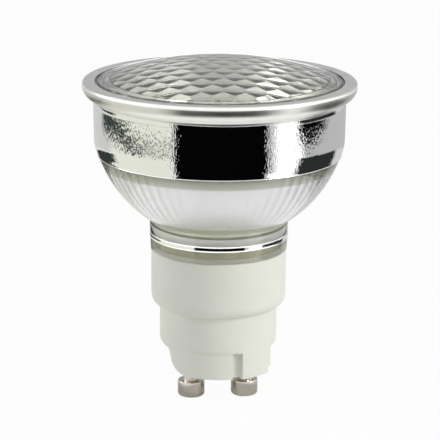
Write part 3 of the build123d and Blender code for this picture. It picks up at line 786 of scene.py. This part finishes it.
# %% Paint the burner
quartz = finish("quartz", (0.90, 0.91, 0.90), (0.96, 0.96, 0.95), (0.0, 0.03),
                mottle_size=150.0, bump=0.1, bump_mm=0.005, peel_size=400.0)
quartz.node_tree.nodes["Principled BSDF"].inputs["Alpha"].default_value = 0.16
alumina = finish("alumina", (0.80, 0.79, 0.74), (0.90, 0.89, 0.85), (0.35, 0.5), mottle_size=600.0,
                 bump=0.15, bump_mm=0.01, peel_size=3000.0)
frit = finish("frit_glass", (0.42, 0.40, 0.34), (0.60, 0.58, 0.52), (0.25, 0.4), mottle_size=1500.0)
tungsten = finish("tungsten", (0.30, 0.29, 0.28), (0.42, 0.41, 0.40), (0.3, 0.5), metal=1.0,
                  mottle_size=1500.0)
molybdenum = finish("molybdenum", (0.40, 0.41, 0.42), (0.58, 0.58, 0.58), (0.2, 0.35), metal=1.0,
                    mottle_size=900.0)
getter_metal = finish("getter_metal", (0.16, 0.15, 0.14), (0.30, 0.29, 0.27), (0.5, 0.7), metal=0.6,
                      mottle_size=1500.0)
finishes = {"quartz_jacket": quartz, "arc_tube": alumina, "frit_seal_lower": frit, "frit_seal_upper": frit,
            "electrode_lower": tungsten, "electrode_upper": tungsten, "foil_left": molybdenum,
            "foil_right": molybdenum, "lead_wire_left": molybdenum, "lead_wire_right": molybdenum,
            "short_lead": molybdenum, "frame_wire": molybdenum, "getter": getter_metal}
for node, material in finishes.items():
    paint(node, material)
print("painted:", len(finishes) + 2, "nodes")

# %% [markdown]
# ## The studio
#
# The lamp stands on a white table. Mirrors and glass show what stands round them, so the studio needs
# the same things round the camera as the photographer had: a white table close by, a dark gap in front
# of it, and darker patches, bands and pale cards at the sides. All of them lie on the table but one grey
# wall, which stands behind the lamp, and the camera doesn't see them. They show in reflections and
# through glass only: they neither shade the lamp nor light its matt parts. The table itself is white to
# the camera. In reflections it is dark close under the lamp and bright further out.


# %% Table and cards
def plain(name, colour, strength):
    """A card that shows one plain colour, whatever falls on it."""
    material = bpy.data.materials.new(name)
    material.use_nodes = True
    tree = material.node_tree
    tree.nodes.clear()
    glow = put(tree, "ShaderNodeEmission", Color=(*colour, 1), Strength=strength)
    out = put(tree, "ShaderNodeOutputMaterial")
    tree.links.new(glow.outputs[0], out.inputs[0])
    return material


def card(name, points, material):
    """A flat stage card with four corners in millimetres, seen in reflections only."""
    mesh = bpy.data.meshes.new(name)
    mesh.from_pydata([tuple(v * MM for v in p) for p in points], [], [tuple(range(len(points)))])
    piece = bpy.data.objects.new(name, mesh)
    mesh.materials.append(material)
    scene.collection.objects.link(piece)
    piece.visible_camera = False
    piece.visible_diffuse = False
    piece.visible_shadow = False
    return piece


def sector(name, from_az, to_az, near, far, height, material):
    """A flat card round the lamp's foot between two azimuths and two radii.

    Azimuth 0 points at the camera and grows to its right, in degrees.
    """
    steps = np.radians(np.linspace(from_az, to_az, 24)) - pi / 2 - LAMP_TURN
    ring_points = [(near * cos(a), near * sin(a), height) for a in steps]
    ring_points += [(far * cos(a), far * sin(a), height) for a in steps[::-1]]
    return card(name, ring_points, material)


def strip(name, path, height, material):
    """A flat band round the lamp's foot along a path of (azimuth, radius, width) places."""
    path = [(radians(a) - pi / 2 - LAMP_TURN, r, w) for a, r, w in path]
    near = [((r - w / 2) * cos(a), (r - w / 2) * sin(a), height) for a, r, w in path]
    far = [((r + w / 2) * cos(a), (r + w / 2) * sin(a), height) for a, r, w in path]
    return card(name, near + far[::-1], material)


black = plain("black_cloth", (0.0015, 0.0015, 0.0015), 1.0)
teal = plain("dark_cloth", (0.035, 0.045, 0.042), 1.0)
shade = plain("shaded_cloth", (0.026, 0.029, 0.028), 1.0)
grey = plain("grey_card", (0.52, 0.52, 0.54), 1.0)
pale = plain("pale_card", (0.66, 0.66, 0.66), 1.0)
cream = plain("cream_card", (0.86, 0.86, 0.78), 1.0)
sector("front_gap", -39.5, 43, 57, 2600, 0.6, black)
for slat, (slat_start, slat_stop) in enumerate(((44.5, 46.5), (48.5, 49.7))):
    sector(f"front_slat_{slat}", slat_start, slat_stop, 75, 2600, 0.6, black)
sector("left_table", -170, -41, 57, 420, 0.2, cream)
sector("left_far_table", -170, -112, 180, 420, 0.3, pale)
sector("left_shade", -156, -108, 100, 166, 0.4, teal)
strip("left_edge", [(-128, 258, 40), (-116, 248, 36), (-107, 242, 34), (-100, 237, 30), (-91, 229, 26),
                    (-84, 221, 22), (-76, 217, 17), (-67, 216, 12), (-57, 217, 8), (-41, 218, 10)], 0.5, teal)
sector("right_table", 104, 176, 60, 420, 0.2, pale)
sector("right_shade", 73, 128, 72, 195, 0.4, shade)
sector("right_far_table", 78, 170, 190, 262, 0.3, grey)
strip("right_gap", [(72, 566, 668), (79, 562, 676), (86, 561, 678), (94, 564, 672), (103, 569, 662),
                    (113, 578, 644)], 0.4, black)
card("grey_wall", [(-600, 420, 40), (600, 420, 40), (600, 420, 700), (-600, 420, 700)], grey)

# %% The white table
GLOW_SHARE = 0.95
GLOW_IN_MIRRORS = 0.88
GLOW_BOOST = 0.42
UNDER_LAMP_RADII = (12.0, 19.0)
floor_mesh = bpy.data.meshes.new("table_top")
floor_mesh.from_pydata([(-3, -3, 0), (3, -3, 0), (3, 3, 0), (-3, 3, 0)], [], [(0, 1, 2, 3)])
floor = bpy.data.objects.new("table_top", floor_mesh)
scene.collection.objects.link(floor)
table_white = bpy.data.materials.new("table_white")
table_white.use_nodes = True
tree = table_white.node_tree
tree.nodes.clear()
matt = put(tree, "ShaderNodeBsdfDiffuse", Color=(0.86, 0.86, 0.85, 1))
glow = put(tree, "ShaderNodeEmission", Color=(1, 1, 1, 1), Strength=1.0)
rays = put(tree, "ShaderNodeLightPath")
either = put(tree, "ShaderNodeMath", operation="MAXIMUM")
share = put(tree, "ShaderNodeMath", operation="MULTIPLY")
share.inputs[1].default_value = GLOW_SHARE
blend = put(tree, "ShaderNodeMixShader")
out = put(tree, "ShaderNodeOutputMaterial")
seen = put(tree, "ShaderNodeMath", operation="MULTIPLY_ADD")
tree.links.new(rays.outputs["Is Glossy Ray"], either.inputs[0])
tree.links.new(rays.outputs["Is Transmission Ray"], either.inputs[1])
where = put(tree, "ShaderNodeTexCoord")
reach = put(tree, "ShaderNodeVectorMath", operation="LENGTH")
tree.links.new(where.outputs["Object"], reach.inputs[0])
near_foot, past_foot = (radius * MM for radius in UNDER_LAMP_RADII)
foot_fade = span(tree, reach.outputs["Value"], near_foot, past_foot, 0.0, GLOW_IN_MIRRORS)
tree.links.new(foot_fade, seen.inputs[1])
boost = put(tree, "ShaderNodeMath", operation="MULTIPLY_ADD")
boost.inputs[1].default_value = GLOW_BOOST
boost.inputs[2].default_value = 1.0
tree.links.new(either.outputs[0], boost.inputs[0])
tree.links.new(boost.outputs[0], glow.inputs["Strength"])
tree.links.new(either.outputs[0], seen.inputs[0])
tree.links.new(rays.outputs["Is Camera Ray"], seen.inputs[2])
tree.links.new(seen.outputs[0], share.inputs[0])
tree.links.new(share.outputs[0], blend.inputs[0])
tree.links.new(matt.outputs[0], blend.inputs[1])
tree.links.new(glow.outputs[0], blend.inputs[2])
tree.links.new(blend.outputs[0], out.inputs[0])
floor_mesh.materials.append(table_white)

# %% Soft light
SKY_SEEN = 1.0
SKY_REFLECTED = 1.4
world = bpy.data.worlds.new("studio")
scene.world = world
world.use_nodes = True
tree = world.node_tree
tree.nodes.clear()
rays = put(tree, "ShaderNodeLightPath")
either = put(tree, "ShaderNodeMath", operation="MAXIMUM")
any_of = put(tree, "ShaderNodeMath", operation="MAXIMUM")
soft = put(tree, "ShaderNodeBackground", Color=(0.985, 0.99, 1.0, 1), Strength=0.42)
white = put(tree, "ShaderNodeBackground", Color=(1, 1, 1, 1), Strength=1.0)
blend = put(tree, "ShaderNodeMixShader")
out = put(tree, "ShaderNodeOutputWorld")
tree.links.new(rays.outputs["Is Camera Ray"], either.inputs[0])
tree.links.new(rays.outputs["Is Glossy Ray"], either.inputs[1])
tree.links.new(either.outputs[0], any_of.inputs[0])
tree.links.new(rays.outputs["Is Transmission Ray"], any_of.inputs[1])
tree.links.new(any_of.outputs[0], blend.inputs[0])
tree.links.new(soft.outputs[0], blend.inputs[1])
sky = put(tree, "ShaderNodeMath", operation="MULTIPLY_ADD")
sky.inputs[1].default_value = SKY_SEEN - SKY_REFLECTED
sky.inputs[2].default_value = SKY_REFLECTED
tree.links.new(rays.outputs["Is Camera Ray"], sky.inputs[0])
tree.links.new(sky.outputs[0], white.inputs["Strength"])
tree.links.new(white.outputs[0], blend.inputs[2])
tree.links.new(blend.outputs[0], out.inputs[0])


def lamp(name, azimuth, distance, height, size, watts, aim=35.0):
    """A soft square light aimed at the lamp's middle. Azimuth as for the cards."""
    data = bpy.data.lights.new(name, "AREA")
    data.energy = watts
    data.size = size * MM
    piece = bpy.data.objects.new(name, data)
    angle = radians(azimuth) - pi / 2 - LAMP_TURN
    place = Vector((distance * cos(angle), distance * sin(angle), height)) * MM
    piece.location = place
    piece.rotation_mode = "QUATERNION"
    piece.rotation_quaternion = (Vector((0, 0, aim * MM)) - place).to_track_quat("-Z", "Y")
    scene.collection.objects.link(piece)
    return piece


lamp("key", 62, 700, 420, 300, 3.1)
lamp("left_fill", -100, 600, 300, 200, 1.1)
scene.view_settings.view_transform = "Standard"
print("stage is set")
